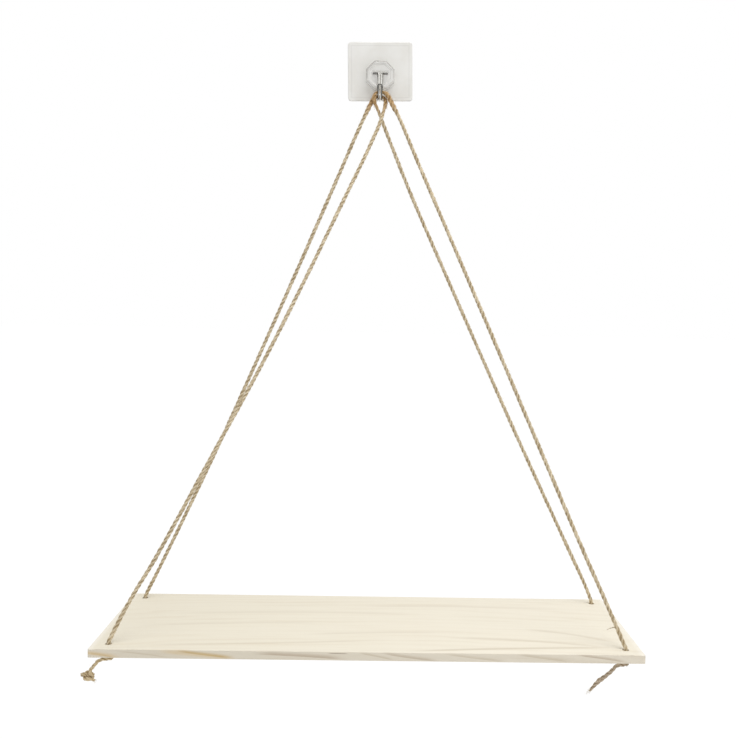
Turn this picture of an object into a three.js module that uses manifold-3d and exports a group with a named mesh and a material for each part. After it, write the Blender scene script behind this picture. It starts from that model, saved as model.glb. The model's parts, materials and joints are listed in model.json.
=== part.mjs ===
// Hanging rope shelf: a thin wooden board slung from one clear adhesive wall hook by two jute ropes.
// Millimetres, +Z up. The origin is the centre of the adhesive film's back face, on the wall.
// +X is to the right of someone who faces the wall, and the shelf stands out from the wall along -Y.

import * as THREE from "three";
import { mergeVertices } from "three/addons/utils/BufferGeometryUtils.js";
import Module from "manifold-3d";

const wasm = await Module();
wasm.setup();

// Clearances that several pieces share
const fitGap = 0.3; // between two pieces that bear on each other
const runningGap = 0.15; // round the hook's arms, in the groove that they turn in
const cutOverrun = 2; // how far a cut runs past the face that it opens

// Adhesive film and wall plate
const filmThickness = 0.8;
const filmInset = 1.5; // from the plate's edge to the film's edge
const plateWidth = 60;
const plateHeight = 54;
const plateThickness = 2.2;
const plateCornerRadius = 3;
const plateEdgeRound = 0.6;

// Hub: an eight-sided cap, welded to the plate over the hook's arms
const hubAcrossFlats = 26;
const hubDepth = 8.4;
const hubDrop = 5; // from the plate's centre down to the hub's centre
const hubEdgeChamfer = 1.8;
const hubRimWidth = 1.6;
const hubRecessDepth = 0.7;

// Hook: one steel wire, doubled back on itself, its two ends turned outwards as arms
const wireDiameter = 1.9;
const wireGap = 0.4; // between the two wires of the stem
const armReach = 7; // from the middle to an arm's end
const armBendRadius = 1.7;
const pivotStandoff = 4.2; // from the plate's front to the arms' axis
const pivotDrop = 2.9; // from the plate's centre down to the arms' axis
const stemLength = 20.7; // from the arms' axis down to the centre of the bend
const hookBendRadius = 4.4;
const tipRise = 9.6; // from the centre of the bend up to the top of the tip
const tipHalfWidth = 1.6; // from the middle of the tip's eye to the wire's centre
const slotClearance = 0.9; // beside the stem, in the hub's slot
const restClearance = 0.35; // behind and above the wire, in the hub's slot
const keeperHeight = 1.5; // of the plate's bar that closes the arms' groove

// Board
const boardWidth = 450;
const boardDepth = 150;
const boardThickness = 7;
const boardCornerRadius = 1.5;
const boardEdgeRound = 0.8;
const boardTopDrop = 497; // from the plate's centre down to the board's top
const boardWallGap = 1; // between the wall and the board's back edge
const holeDiameter = 6;
const holeInset = 13; // from the board's edges to a hole's centre

// Ropes and their knots
const ropeDiameter = 3;
const knottedDiameter = 2.6; // of the rope where a knot draws it tight, and of its tail
const knotDrop = 4.2; // from the board's underside down to a knot's middle

// How finely round things are cut
const wireSides = 10;
const ropeSides = 8;
const armBendSteps = 3;
const hookBendSteps = 10;
const tipSteps = 6;
const cornerSteps = 5;
const edgeSteps = 2;
const grooveSides = 16;
const knotSteps = 40;

// Each rope's route, from the knot under one hole, over the hook, to the knot under the other hole.
// The left rope comes up from the back left, crosses over and goes down in front to the front left.
const leftRopeRoute = [
  [-212, -14, -501.7],
  [-212, -14, -499.2],
  [-211.7, -14, -495.5],
  [-209.8, -13.9, -491],
  [-203, -13.9, -477],
  [-195.8, -13.8, -462],
  [-146.4, -13.3, -355],
  [-109.9, -13, -271],
  [-71.5, -12.6, -181],
  [-34.9, -12.2, -93.5],
  [-21.4, -11.9, -61],
  [-14.2, -11.6, -44.5],
  [-9.4, -11.2, -34],
  [-7.2, -10.9, -29.5],
  [-5.2, -10.7, -26.6],
  [-3, -10.6, -25],
  [0, -10.6, -24.5],
  [3, -10.7, -25.1],
  [4.9, -11.2, -27.2],
  [5.4, -12.4, -30.3],
  [4.7, -14.2, -34.6],
  [3.6, -16.3, -39.5],
  [1.7, -18.5, -46.4],
  [-0.9, -20.7, -54.5],
  [-4.3, -22.8, -62.7],
  [-11.6, -27.5, -80.5],
  [-29.6, -38.3, -121],
  [-61.5, -57.4, -193],
  [-95.8, -77, -267],
  [-133.4, -97, -342],
  [-179.6, -121.2, -433],
  [-192.4, -127.1, -455.5],
  [-202.7, -132.4, -475.3],
  [-209.8, -136.6, -491],
  [-211.7, -137.8, -495.5],
  [-212, -138, -499.2],
  [-212, -138, -501.7],
];
// The right rope comes up from the front right and goes down behind to the back right.
const rightRopeRoute = [
  [212, -138, -501.7],
  [212, -138, -499.2],
  [211.7, -137.8, -495.5],
  [209.8, -136.5, -491],
  [203.4, -132.5, -476],
  [192.3, -125.8, -450.5],
  [181.7, -119.5, -427],
  [149.6, -99.5, -352],
  [115.9, -78.6, -273],
  [83, -58.2, -196],
  [50.2, -37.9, -120],
  [35.6, -29, -86],
  [24.9, -22.4, -60.5],
  [18.2, -18.9, -45],
  [14, -17, -37],
  [10, -15.3, -29.4],
  [8.2, -14.5, -25.7],
  [6.4, -13.9, -23.1],
  [4, -13.6, -21.5],
  [1, -13.5, -21],
  [-2, -13.6, -21.5],
  [-4.2, -14.1, -23.3],
  [-5.2, -14.4, -26],
  [-5.1, -14.3, -28.7],
  [-4, -13.8, -32],
  [-1.4, -13, -37.5],
  [1.6, -12.4, -44.5],
  [5, -12.2, -53],
  [13.5, -12.3, -73.5],
  [32.2, -12.5, -117],
  [66.2, -12.8, -190],
  [101.4, -13.1, -265],
  [138.2, -13.4, -342.5],
  [193.3, -13.9, -455],
  [203, -13.9, -474.5],
  [209.8, -13.9, -490],
  [211.7, -14, -495.5],
  [212, -14, -499.2],
  [212, -14, -501.7],
];

// Each knot's tail, from the knot's side on, counted from the knot's own middle. The front left tail ends in
// a second knot with a short end of its own.
const frontLeftTail = [
  [-6.8, -2.6, -2],
  [-9.9, -3.1, -5.2],
];
const endKnotPlace = [-14.7, -3.6, -15.7];
const endKnotStub = [
  [3.5, 0.5, -1.9],
  [4.6, 0.5, -2.8],
];
const frontRightTail = [
  [-7.6, -2.6, -1.4],
  [-12.3, -3.2, -5.9],
  [-17.5, -3.6, -10.2],
  [-22.2, -4, -13.7],
  [-25.9, -4.4, -17.2],
  [-30.1, -4.9, -21.9],
];
const backLeftTail = [
  [4.8, -1.4, -2.6],
  [7.2, -1.8, -6],
  [8.4, -2, -10.5],
  [8.8, -2.2, -15],
];
const backRightTail = [
  [-4.8, 1.4, -2.8],
  [-7, 1.6, -6.4],
  [-8, 1.2, -10.8],
  [-8.4, 0.8, -15],
];

// Places that several pieces line up with
const plateBackY = -(filmThickness + fitGap);
const plateFrontY = plateBackY - plateThickness;
const hubBackY = plateFrontY - fitGap;
const hubFrontY = hubBackY - hubDepth;
const pivotY = plateFrontY - pivotStandoff;
const pivotZ = -pivotDrop;
const hubBottomZ = -hubDrop - hubAcrossFlats / 2;
const wireRadius = wireDiameter / 2;
const stemOffset = wireGap / 2 + wireRadius;
const boardBottomZ = -boardTopDrop - boardThickness;
const boardBackY = -boardWallGap;
const boardCentreY = boardBackY - boardDepth / 2;

const clearPlastic = { color: 0xe4e1dc, roughness: 0.18, metalness: 0, transparent: true, opacity: 0.6 };
const filmPlastic = { color: 0xe9e7e3, roughness: 0.5, metalness: 0 };
const steel = { color: 0xb9bab8, roughness: 0.22, metalness: 1 };
const jute = { color: 0xa8967a, roughness: 0.95, metalness: 0 };
const paleWood = { color: 0xe6dcca, roughness: 0.7, metalness: 0 };

// Booleans

function toSolid(geometry) {
  const bare = geometry.clone();
  bare.deleteAttribute("normal");
  bare.deleteAttribute("uv");
  const merged = mergeVertices(bare);
  return new wasm.Manifold(
    new wasm.Mesh({
      numProp: 3,
      vertProperties: merged.attributes.position.array,
      triVerts: new Uint32Array(merged.index.array),
    }),
  );
}

function toGeometry(solid) {
  const mesh = solid.getMesh();
  const geometry = new THREE.BufferGeometry();
  geometry.setAttribute("position", new THREE.BufferAttribute(mesh.vertProperties, mesh.numProp));
  geometry.setIndex(new THREE.BufferAttribute(mesh.triVerts, 1));
  geometry.computeVertexNormals();
  return geometry;
}

function joined(geometries) {
  return geometries.map(toSolid).reduce((whole, piece) => whole.add(piece));
}

function piece(name, shape, look) {
  const geometry = shape.isBufferGeometry ? shape : toGeometry(shape);
  const mesh = new THREE.Mesh(geometry, new THREE.MeshStandardMaterial(look));
  mesh.name = name;
  return mesh;
}

// Flat plates and boxes

function roundedRectangle(width, height, radius) {
  const x = width / 2 - radius;
  const y = height / 2 - radius;
  const quarter = Math.PI / 2;
  const shape = new THREE.Shape();
  shape.absarc(x, y, radius, 0, quarter);
  shape.absarc(-x, y, radius, quarter, 2 * quarter);
  shape.absarc(-x, -y, radius, 2 * quarter, 3 * quarter);
  shape.absarc(x, -y, radius, 3 * quarter, 4 * quarter);
  shape.closePath();
  return shape;
}

// A slab whose edges are rounded inside its outline, from the shape's plane up to its thickness.
function softEdgedSlab(shape, thickness, edge) {
  return new THREE.ExtrudeGeometry(shape, {
    depth: thickness - 2 * edge,
    bevelThickness: edge,
    bevelSize: edge,
    bevelOffset: -edge,
    bevelSegments: edgeSteps,
    curveSegments: cornerSteps,
  }).translate(0, 0, edge);
}

// Turns what was drawn flat, with its thickness up, to stand against the wall with its thickness outwards.
function standOnWall(geometry, backY) {
  return geometry.rotateX(Math.PI / 2).translate(0, backY, 0);
}

// A box between two opposite corners.
function boxBetween(low, high) {
  const size = high.map((value, axis) => value - low[axis]);
  const middle = high.map((value, axis) => (value + low[axis]) / 2);
  return new THREE.BoxGeometry(...size).translate(...middle);
}

// Wires and ropes

// A smooth curve with one ring of the tube at each of its points, so close points give a finer bend.
class PointedRoute extends THREE.CatmullRomCurve3 {
  constructor(points) {
    super(points, false, "centripetal");
  }

  getSpacedPoints(divisions) {
    return this.getPoints(divisions);
  }

  getTangentAt(share, target) {
    return this.getTangent(share, target);
  }
}

function tubeAlong(points, diameter, sides) {
  const route = new PointedRoute(points.map((point) => new THREE.Vector3(...point)));
  const section = new THREE.Shape();
  section.absarc(0, 0, diameter / 2, 0, 2 * Math.PI);
  return new THREE.ExtrudeGeometry(section, {
    steps: points.length - 1,
    curveSegments: sides / 2,
    extrudePath: route,
  });
}

// Points of an arc in a plane, from one angle to another, both ends included.
function arcPoints(steps, startAngle, endAngle, place) {
  return Array.from({ length: steps + 1 }, (_, i) => place(startAngle + ((endAngle - startAngle) * i) / steps));
}

// The hook's wire from the end of its left arm to the top of the eye at its tip.
function halfHookRoute() {
  const bendCentreY = pivotY - hookBendRadius;
  const bendCentreZ = pivotZ - stemLength;
  const tipY = bendCentreY - hookBendRadius;
  const eyeCentreZ = bendCentreZ + tipRise - wireRadius - tipHalfWidth;
  const armBend = arcPoints(armBendSteps, Math.PI / 2, 0, (angle) => [
    -stemOffset - armBendRadius + armBendRadius * Math.cos(angle),
    pivotY,
    pivotZ - armBendRadius + armBendRadius * Math.sin(angle),
  ]);
  const bend = arcPoints(hookBendSteps, 0, Math.PI, (angle) => [
    -stemOffset,
    bendCentreY + hookBendRadius * Math.cos(angle),
    bendCentreZ - hookBendRadius * Math.sin(angle),
  ]);
  const eye = arcPoints(tipSteps / 2, Math.PI, Math.PI / 2, (angle) => [
    tipHalfWidth * Math.cos(angle),
    tipY,
    eyeCentreZ + tipHalfWidth * Math.sin(angle),
  ]);
  return [[-armReach, pivotY, pivotZ], ...armBend, ...bend, ...eye];
}

// An overhand knot's own axes: +Z to where the rope comes from, +Y the way that its tail leaves.
function knotAxes(comesFrom, leavesTo, mirrored) {
  const z = new THREE.Vector3(...comesFrom).normalize();
  const y = new THREE.Vector3(...leavesTo).projectOnPlane(z).normalize();
  const x = y.clone().cross(z).multiplyScalar(mirrored ? -1 : 1);
  return new THREE.Matrix4().makeBasis(x, y, z);
}

// The rope comes straight in, bends over the knot's side, and then runs twice round the knot's middle, weaving
// in and out three times. Shares are of the knotted rope's diameter, counted from the rope that comes in.
function overhandKnot(axes) {
  const bendShares = [
    [0, 0, 2.36],
    [0, 0, 1.95],
    [0, 0.03, 1.56],
    [0.02, 0.2, 1.21],
    [0.05, 0.58, 0.96],
    [-0.06, 0.98, 0.87],
    [-0.36, 1.27, 0.8],
  ];
  const exitShares = [
    [0.04, -0.32, -0.46],
    [0.33, 0.2, -0.4],
    [0.38, 0.9, -0.42],
  ];
  const ringCentre = [-1.62, 0.3];
  const ringShare = 1.25;
  const weaveShare = 0.57;
  const riseShare = 0.7;
  const openTurns = [0.45, 0.33]; // left out of a full turn where the rope comes in and where the tail leaves
  const weave = arcPoints(knotSteps, openTurns[0], 2 * Math.PI - openTurns[1], (turn) => {
    const radiusShare = ringShare + weaveShare * Math.cos(3 * turn);
    return [
      ringCentre[0] + radiusShare * Math.cos(2 * turn),
      ringCentre[1] + radiusShare * Math.sin(2 * turn),
      riseShare * Math.sin(3 * turn),
    ];
  });
  return [...bendShares, ...weave, ...exitShares].map((shares) =>
    new THREE.Vector3(...shares).multiplyScalar(knottedDiameter).applyMatrix4(axes).toArray(),
  );
}

function movedBy(points, offset) {
  return points.map((point) => point.map((value, axis) => value + offset[axis]));
}

// Pieces

function adhesiveFilm() {
  const outline = roundedRectangle(plateWidth - 2 * filmInset, plateHeight - 2 * filmInset, plateCornerRadius);
  const film = new THREE.ExtrudeGeometry(outline, {
    depth: filmThickness,
    bevelEnabled: false,
    curveSegments: cornerSteps,
  });
  return piece("adhesive_film", standOnWall(film, 0), filmPlastic);
}

function wallPlate() {
  const outline = roundedRectangle(plateWidth, plateHeight, plateCornerRadius);
  const plate = standOnWall(softEdgedSlab(outline, plateThickness, plateEdgeRound), plateBackY);
  const keeper = boxBetween(
    [-armReach, pivotY + wireRadius + fitGap, pivotZ - keeperHeight / 2],
    [armReach, plateFrontY + plateEdgeRound, pivotZ + keeperHeight / 2],
  );
  return piece("wall_plate", joined([plate, keeper]), clearPlastic);
}

function hookHub() {
  const sides = 8;
  const halfSide = Math.PI / sides;
  const cornerRadius = hubAcrossFlats / 2 / Math.cos(halfSide);
  const rimOuter = cornerRadius - hubEdgeChamfer;
  const rimInner = rimOuter - hubRimWidth;
  const profile = [
    [0, 0],
    [cornerRadius, 0],
    [cornerRadius, hubDepth - hubEdgeChamfer],
    [rimOuter, hubDepth],
    [rimInner, hubDepth],
    [rimInner - hubRecessDepth, hubDepth - hubRecessDepth],
    [0, hubDepth - hubRecessDepth],
  ].map(([radius, height]) => new THREE.Vector2(radius, height));
  const cap = new THREE.LatheGeometry(profile, sides, halfSide)
    .rotateX(Math.PI)
    .translate(0, hubBackY, -hubDrop);

  const slotHalfWidth = stemOffset + wireRadius + slotClearance;
  const slot = boxBetween(
    [-slotHalfWidth, hubFrontY - cutOverrun, hubBottomZ - cutOverrun],
    [slotHalfWidth, pivotY + wireRadius + restClearance, pivotZ + wireRadius + restClearance],
  );

  const grooveRadius = wireRadius + runningGap;
  const grooveHalfLength = armReach + fitGap;
  const grooveEnd = new THREE.CylinderGeometry(grooveRadius, grooveRadius, 2 * grooveHalfLength, grooveSides)
    .rotateZ(Math.PI / 2)
    .translate(0, pivotY, pivotZ);
  const grooveMouth = boxBetween(
    [-grooveHalfLength, pivotY, pivotZ - grooveRadius],
    [grooveHalfLength, hubBackY + cutOverrun, pivotZ + grooveRadius],
  );
  return piece("hook_hub", toSolid(cap).subtract(joined([slot, grooveEnd, grooveMouth])), clearPlastic);
}

function steelHook() {
  const half = halfHookRoute();
  const otherHalf = half
    .slice(0, -1)
    .reverse()
    .map(([x, y, z]) => [-x, y, z]);
  return piece("steel_hook", tubeAlong([...half, ...otherHalf], wireDiameter, wireSides), steel);
}

function shelfBoard() {
  const outline = roundedRectangle(boardWidth, boardDepth, boardCornerRadius);
  for (const side of [-1, 1]) {
    for (const end of [-1, 1]) {
      const hole = new THREE.Path();
      const x = side * (boardWidth / 2 - holeInset);
      const y = end * (boardDepth / 2 - holeInset);
      hole.absarc(x, y, holeDiameter / 2, 0, 2 * Math.PI);
      outline.holes.push(hole);
    }
  }
  const board = softEdgedSlab(outline, boardThickness, boardEdgeRound);
  return piece("shelf_board", board.translate(0, boardCentreY, boardBottomZ), paleWood);
}

// A knot under the board and its tail, which is one unbroken run of rope.
function tiedEnd(name, side, end, axes, tail) {
  const middle = [
    side * (boardWidth / 2 - holeInset),
    boardCentreY + end * (boardDepth / 2 - holeInset),
    boardBottomZ - knotDrop,
  ];
  const route = movedBy([...overhandKnot(axes), ...tail], middle);
  return piece(name, tubeAlong(route, knottedDiameter, ropeSides), jute);
}

const up = [0, 0, 1];
const left = [-1, 0, 0];
const right = [1, 0, 0];
const alongTail = [0.2, 0.1, 0.97];
const rightAndBack = [0.81, 0.57, 0];
const endKnot = [...overhandKnot(knotAxes(alongTail, rightAndBack, false)), ...endKnotStub];

const shelf = new THREE.Group();
shelf.add(
  adhesiveFilm(),
  wallPlate(),
  hookHub(),
  steelHook(),
  piece("left_rope", tubeAlong(leftRopeRoute, ropeDiameter, ropeSides), jute),
  piece("right_rope", tubeAlong(rightRopeRoute, ropeDiameter, ropeSides), jute),
  shelfBoard(),
  tiedEnd("knot_front_left", -1, -1, knotAxes(up, left, true), [
    ...frontLeftTail,
    ...movedBy(endKnot, endKnotPlace),
  ]),
  tiedEnd("knot_front_right", 1, -1, knotAxes(up, left, true), frontRightTail),
  tiedEnd("knot_back_left", -1, 1, knotAxes(up, right, false), backLeftTail),
  tiedEnd("knot_back_right", 1, 1, knotAxes(up, left, false), backRightTail),
);

export default shelf;
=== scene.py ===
# %% [markdown]
# # A hanging rope shelf
# A thin board of pale wood hangs from one clear adhesive wall hook by two jute ropes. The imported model
# gives the sizes, the places and the moving bodies. This script dresses it: ropes laid from three
# strands, knots with frayed tails, a bright wire hook, milky clear plastic and planed wood. Everything
# is in metres, in the model's own frame.

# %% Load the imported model
import json
import math
from functools import partialmethod

import bmesh
import bpy
import numpy as np
from mathutils import Matrix, Vector


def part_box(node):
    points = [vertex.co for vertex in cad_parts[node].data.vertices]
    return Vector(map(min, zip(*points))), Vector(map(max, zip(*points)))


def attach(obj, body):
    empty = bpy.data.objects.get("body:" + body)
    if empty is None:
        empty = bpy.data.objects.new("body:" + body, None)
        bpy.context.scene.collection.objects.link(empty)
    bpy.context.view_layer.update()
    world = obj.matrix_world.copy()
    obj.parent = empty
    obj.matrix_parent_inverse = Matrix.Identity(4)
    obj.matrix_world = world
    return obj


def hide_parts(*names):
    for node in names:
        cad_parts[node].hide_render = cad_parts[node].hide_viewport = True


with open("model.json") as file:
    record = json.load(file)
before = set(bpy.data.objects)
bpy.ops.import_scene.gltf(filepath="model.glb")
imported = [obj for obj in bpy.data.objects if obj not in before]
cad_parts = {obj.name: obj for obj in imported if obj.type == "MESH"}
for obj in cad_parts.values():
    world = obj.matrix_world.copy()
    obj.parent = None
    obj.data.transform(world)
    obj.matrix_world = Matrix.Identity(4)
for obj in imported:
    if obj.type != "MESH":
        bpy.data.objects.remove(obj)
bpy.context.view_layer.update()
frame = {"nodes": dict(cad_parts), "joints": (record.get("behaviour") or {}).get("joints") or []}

MM = 0.001

# %% [markdown]
# ## Camera
# The photograph was taken from a little under a metre away, level with the middle of the ropes, with
# the camera turned down, to the right and over by a few degrees, and it was cut a little off the lens's
# middle. These numbers bring the board, the ropes and the plate to their places in it. The lens and its
# shift are in pixels.

# %% Camera
camera_place = Vector((-0.95, -897.8, -222.37)) * MM
camera_yaw = math.radians(1.587)
camera_pitch = math.radians(-3.501)
camera_roll = math.radians(1.24)
lens_pixels = 945.3
shift_pixels = 30
photo_pixels = 739
sensor_width = 36


def aimed(yaw, pitch, roll):
    """The camera's turn: its right, its up and its back are the columns."""
    ahead = Vector((math.sin(yaw) * math.cos(pitch), math.cos(yaw) * math.cos(pitch), math.sin(pitch)))
    level = Vector((math.cos(yaw), -math.sin(yaw), 0))
    upright = level.cross(ahead)
    right = level * math.cos(roll) + upright * math.sin(roll)
    up = upright * math.cos(roll) - level * math.sin(roll)
    return Matrix((right, up, -ahead)).transposed()


camera_data = bpy.data.cameras.new("camera")
camera_data.sensor_width = sensor_width
camera_data.lens = lens_pixels / photo_pixels * sensor_width
camera_data.shift_x = -shift_pixels / photo_pixels
camera = bpy.data.objects.new("camera", camera_data)
camera_turn = aimed(camera_yaw, camera_pitch, camera_roll)
camera.matrix_world = Matrix.Translation(camera_place) @ camera_turn.to_4x4()
bpy.context.scene.collection.objects.link(camera)
bpy.context.scene.camera = camera
print(f"lens {camera_data.lens:.1f} mm, shift {camera_data.shift_x:.3f}")

# %% [markdown]
# ## Node helpers
# Every finish is a small graph of nodes. One helper adds a node and fills its sockets with fixed values
# or other nodes' outputs. It wraps its output so that Python's own signs work on it: each plus or times
# adds a Math node, and a finish reads from top to bottom like a recipe.


# %% Node helpers
def adjusted(thing, **settings):
    """A node, a modifier or the like with some of its properties set."""
    for name, value in settings.items():
        setattr(thing, name, value)
    return thing


class Value:
    """A node's output, which can be counted with."""

    def __init__(self, socket):
        self.socket = socket
        self.tree = socket.id_data

    def output(self, name):
        """Another output of the same node."""
        return Value(self.socket.node.outputs[name])

    def step(self, other=0.0, operation="ADD"):
        return add_node(self.tree, "Math", {0: self, 1: other}, operation=operation)

    __add__ = step
    __sub__ = partialmethod(step, operation="SUBTRACT")
    __mul__ = partialmethod(step, operation="MULTIPLY")
    __truediv__ = partialmethod(step, operation="DIVIDE")
    __abs__ = partialmethod(step, operation="ABSOLUTE")
    larger = partialmethod(step, operation="MAXIMUM")


def fill(socket, value):
    """Gives a socket a fixed value, or links another node's output to it."""
    if isinstance(value, Value):
        value.tree.links.new(value.socket, socket)
    else:
        socket.default_value = value


def add_node(tree, kind, inputs=None, output=0, **settings):
    """Adds a shader node with its settings and filled sockets, and returns one of its outputs."""
    made = adjusted(tree.nodes.new("ShaderNode" + kind), **settings)
    for socket, value in (inputs or {}).items():
        fill(made.inputs[socket], value)
    return Value(made.outputs[output])


def paint(red, green, blue):
    """A colour as it is read off a screen, from 0 to 255, as Blender's linear colour."""
    shares = [value / 255 for value in (red, green, blue)]
    linear = [s / 12.92 if s <= 0.04045 else ((s + 0.055) / 1.055) ** 2.4 for s in shares]
    return (*linear, 1)


def new_finish(name):
    """A material and its node tree."""
    material = bpy.data.materials.new(name)
    material.use_nodes = True
    return material, material.node_tree


def filled(material, **sockets):
    """The material with its main shader's sockets filled, their names written with low lines."""
    shader = material.node_tree.nodes["Principled BSDF"]
    for name, value in sockets.items():
        fill(shader.inputs[name.replace("_", " ")], value)
    return material


def object_place(tree):
    return add_node(tree, "TexCoord", output="Object")


def parts_of(place):
    """A place's three coordinates."""
    x = add_node(place.tree, "SeparateXYZ", {0: place})
    return x, x.output("Y"), x.output("Z")


def kept(tree, name, output="Vector"):
    """What a mesh keeps for each of its points under this name."""
    return add_node(tree, "Attribute", output=output, attribute_name=name)


def noise(place, scale, detail=3, roughness=0.55, offset=(0, 0, 0)):
    """Soft random patches from 0 to 1, stretched if there is a scale for each direction."""
    if isinstance(scale, tuple):
        place = add_node(place.tree, "Mapping", {"Vector": place, "Scale": scale, "Location": offset})
        scale = 1
    sockets = {"Vector": place, "Scale": scale, "Detail": detail, "Roughness": roughness}
    return add_node(place.tree, "TexNoise", sockets)


def ramp(value, stops):
    """A colour for each value: stops are pairs of a place from 0 to 1 and a colour."""
    made = add_node(value.tree, "ValToRGB", {"Fac": value})
    elements = made.socket.node.color_ramp.elements
    while len(elements) < len(stops):
        elements.new(1)
    for element, (place, colour) in zip(elements, stops):
        element.position = place
        element.color = colour
    return made


def eased(value, low, high, to_low=0, to_high=1):
    """The value brought smoothly from one range to another."""
    sockets = {"Value": value, "From Min": low, "From Max": high, "To Min": to_low, "To Max": to_high}
    return add_node(value.tree, "MapRange", sockets, interpolation_type="SMOOTHSTEP")


def blended(share, first, second, way="MIX"):
    """Two colours put together, as two coats of paint are. The numbers are a Mix node's sockets."""
    tree = next(value.tree for value in (share, first, second) if isinstance(value, Value))
    sockets = {0: share, 6: first, 7: second}
    return add_node(tree, "Mix", sockets, output=2, data_type="RGBA", blend_type=way)


def tinted(colour, tint, share=1.0):
    """A colour with a share of a clear tint over it."""
    over = blended(1.0, colour, tint, "MULTIPLY")
    return over if share == 1.0 else blended(share, colour, over)


def raised(height, distance, strength=1):
    """A bump's normal: the height pattern stands out by the distance."""
    return add_node(height.tree, "Bump", {"Height": height, "Distance": distance, "Strength": strength})


# %% [markdown]
# ## Mesh helpers
# Shapes are made by bmesh operators at their own place in the model's frame, and become objects at the
# origin. An edge's rise tells the upright edges of a bar or a block from its level ones.


# %% Mesh helpers
def to_object(name, shape, finish, smooth=True):
    """A finished object at the origin."""
    mesh = bpy.data.meshes.new(name)
    shape.to_mesh(mesh)
    shape.free()
    mesh.polygons.foreach_set("use_smooth", [smooth] * len(mesh.polygons))
    mesh.materials.append(finish)
    made = bpy.data.objects.new(name, mesh)
    bpy.context.scene.collection.objects.link(made)
    return made


def with_modifiers(made):
    """An object's shape as its modifiers leave it."""
    bpy.context.view_layer.update()
    shape = bmesh.new()
    shape.from_mesh(made.evaluated_get(bpy.context.evaluated_depsgraph_get()).data)
    return shape


def add_bar(shape, sides, radius, height, middle, tip_share=1):
    """Adds a round upright bar, or a tapered one if the tip's share is less than one."""
    tip = radius * tip_share
    made = bmesh.ops.create_cone(
        shape, cap_ends=True, segments=sides, radius1=radius, radius2=tip, depth=height
    )
    bmesh.ops.translate(shape, verts=made["verts"], vec=middle)


def rise(edge):
    return abs(edge.verts[0].co.z - edge.verts[1].co.z)


def round_off(shape, edges, offset, segments, **settings):
    """Rounds some edges."""
    settings = {"profile": 0.5, "affect": "EDGES", "material": -1, **settings}
    bmesh.ops.bevel(shape, geom=edges, offset=offset, segments=segments, **settings)


def mesh_places(mesh):
    places = np.zeros(len(mesh.vertices) * 3, np.float32)
    mesh.vertices.foreach_get("co", places)
    return places.reshape(-1, 3).astype(float)


def set_places(mesh, places):
    mesh.vertices.foreach_set("co", places.astype(np.float32).ravel())
    mesh.update()


def keep_values(mesh, name, values):
    """Keeps a number or a vector for each point, for the finish to read."""
    kind, field = ("FLOAT", "value") if values.ndim == 1 else ("FLOAT_VECTOR", "vector")
    mesh.attributes.new(name, kind, "POINT").data.foreach_set(field, values.astype(np.float32).ravel())


# %% [markdown]
# ## Light
# A product photograph on white has soft light from all round, here the world, and larger soft lights,
# here two wide lamps that make the board's top brighter than its front edge. What the camera sees past
# the object is plain white. Bright wire needs something to mirror, so for mirrored rays the world is
# greyer towards the room.

# %% World and lamps
even_light = 0.6
room_grey = 0.34
mirror_heights = (-0.5, 0.55)
mirror_depths = (-0.35, 0.5)
world = bpy.data.worlds.new("studio")
world.use_nodes = True
bpy.context.scene.world = world
bpy.context.scene.view_settings.view_transform = "Standard"
sky = world.node_tree
_, sky_depth, sky_height = parts_of(add_node(sky, "TexCoord", output="Generated"))
mirror_tone = eased(sky_height, *mirror_heights).larger(eased(sky_depth, *mirror_depths))
mirror_tone = eased(mirror_tone, 0, 1, room_grey, 1)
rays = add_node(sky, "LightPath")
seen = rays.output("Is Camera Ray").larger(rays.output("Is Transmission Ray"))
unseen = add_node(sky, "Mix", {0: rays.output("Is Glossy Ray"), 2: even_light, 3: mirror_tone})
background = sky.nodes["Background"].inputs
fill(background["Strength"], add_node(sky, "Mix", {0: seen, 2: unseen, 3: 1.0}))
fill(background["Color"], (1, 1, 1, 1))


def add_lamp(name, place, aim, size, power):
    """A square soft lamp at a place, turned to its aim."""
    data = adjusted(bpy.data.lights.new(name, "AREA"), size=size, energy=power)
    turn = (Vector(aim) - Vector(place)).to_track_quat("-Z", "Y").to_euler()
    lamp = adjusted(bpy.data.objects.new(name, data), location=place, rotation_euler=turn)
    bpy.context.scene.collection.objects.link(lamp)


add_lamp("lamp_above", (0.25, -0.5, 1.1), (0, -0.05, -0.35), size=1.1, power=13.5)
add_lamp("lamp_right", (1.3, -1.1, 0.1), (0, -0.05, -0.3), size=0.8, power=2.5)

# %% [markdown]
# ## Floor
# The floor is far below the shelf and only catches its soft shadow. To the camera it is nearly all
# plain white light with a little of the real shaded surface mixed in, which keeps the shadow.

# %% Floor
floor_height = -700 * MM
floor_size = 40
floor_white = paint(250, 250, 250)
floor_roughness = 0.9
floor_shadow_share = 0.16
floor_glow = 1.08


def floor_finish():
    material, tree = new_finish("floor_white")
    filled(material, Base_Color=floor_white, Roughness=floor_roughness)
    surface = Value(tree.nodes["Principled BSDF"].outputs["BSDF"])
    path = add_node(tree, "LightPath")
    glow = add_node(tree, "Emission", {"Strength": floor_glow})
    seen_or_mirrored = path.output("Is Camera Ray").larger(path.output("Is Glossy Ray"))
    white = seen_or_mirrored.larger(path.output("Is Transmission Ray")) * (1 - floor_shadow_share)
    mixed = add_node(tree, "MixShader", {0: white, 1: surface, 2: glow})
    fill(tree.nodes["Material Output"].inputs["Surface"], mixed)
    return material


floor_shape = bmesh.new()
bmesh.ops.create_grid(floor_shape, x_segments=1, y_segments=1, size=floor_size / 2)
bmesh.ops.translate(floor_shape, verts=floor_shape.verts, vec=(0, 0, floor_height))
floor = to_object("floor", floor_shape, floor_finish(), smooth=False)
print("floor at", floor_height)

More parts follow.
